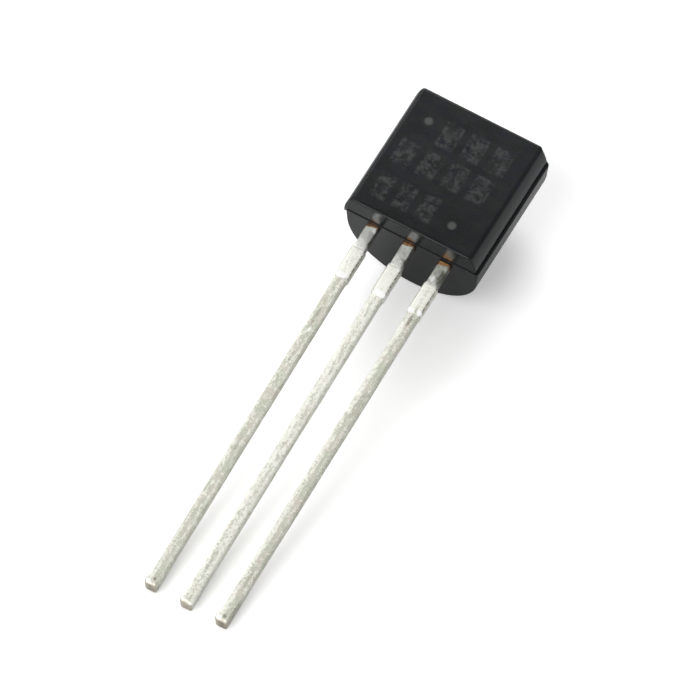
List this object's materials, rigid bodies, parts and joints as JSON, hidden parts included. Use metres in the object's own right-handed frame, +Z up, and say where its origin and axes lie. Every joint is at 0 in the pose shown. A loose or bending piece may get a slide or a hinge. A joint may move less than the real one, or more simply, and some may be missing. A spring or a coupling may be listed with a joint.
{
  "type": "silicon controlled rectifier",
  "caption": "Small through-hole silicon controlled rectifier: a black D-section moulded body with a flat face and a row of long flat tinned leads, lying flat side up.",
  "frame": {"origin": "on the ground under the middle of the resting part's box", "axes": "+X across the leads from the cathode side to the anode side, +Y from the lead tips towards the moulded body, +Z up"},
  "size_m": [0.0048, 0.0186, 0.0041],
  "materials": {
    "moulding": null,
    "tinned_lead": "dull mottled tin plate on copper, bare copper for a short way at the moulding",
    "silicon": "polished silicon",
    "solder": "soft solder",
    "bond_wire": "drawn aluminium wire"
  },
  "bodies": {
    "root": {"moulded_body": "moulding", "cathode_lead": "tinned_lead", "gate_lead": "tinned_lead", "anode_lead": "tinned_lead", "thyristor_die": "silicon", "die_solder": "solder", "cathode_wire": "bond_wire", "gate_wire": "bond_wire"}
  },
  "joints": []
}
